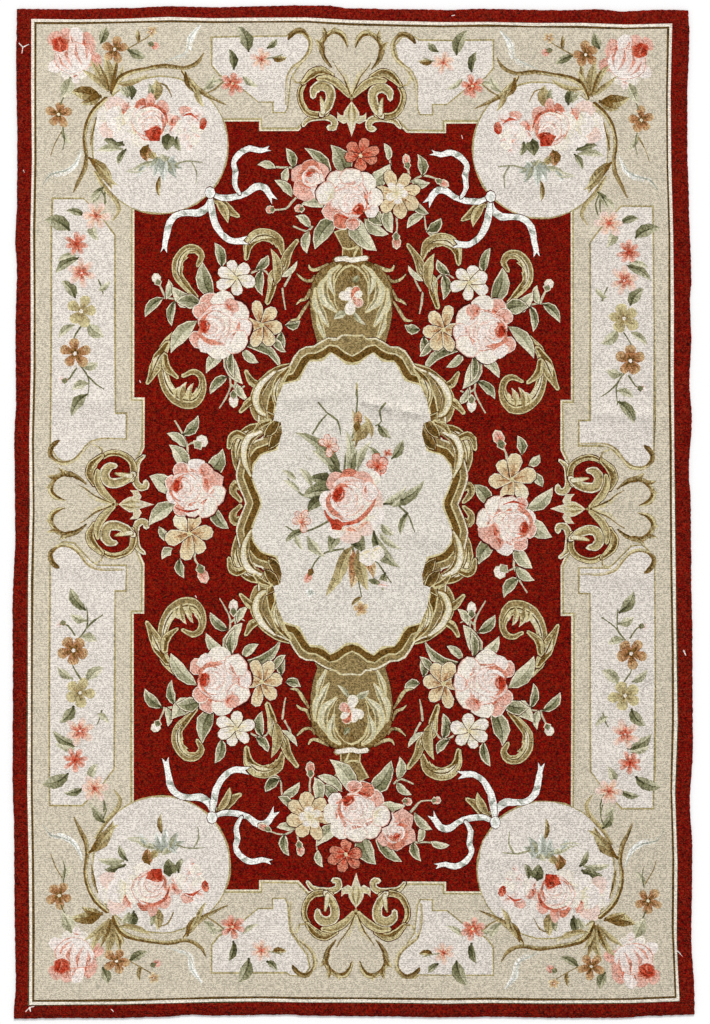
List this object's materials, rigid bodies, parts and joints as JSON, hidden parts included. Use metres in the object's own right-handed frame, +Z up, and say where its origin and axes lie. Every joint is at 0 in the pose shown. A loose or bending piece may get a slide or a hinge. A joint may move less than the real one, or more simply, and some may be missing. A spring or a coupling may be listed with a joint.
{
  "type": "aubusson rug",
  "caption": "Flat tapestry-woven wool rug lying on a floor: a plain red edge, a flowered cream border and a red field with a cream medallion.",
  "frame": {"origin": "middle of the underside, centred on the rug's bounding box", "axes": "+X across the rug's width, +Y along its length towards the end shown at the top of the picture, +Z up out of its face"},
  "size_m": [1.233, 1.833, 0.0089],
  "materials": {
    "wool_weave": "matt"
  },
  "bodies": {
    "root": {"rug": "wool_weave"}
  },
  "joints": []
}
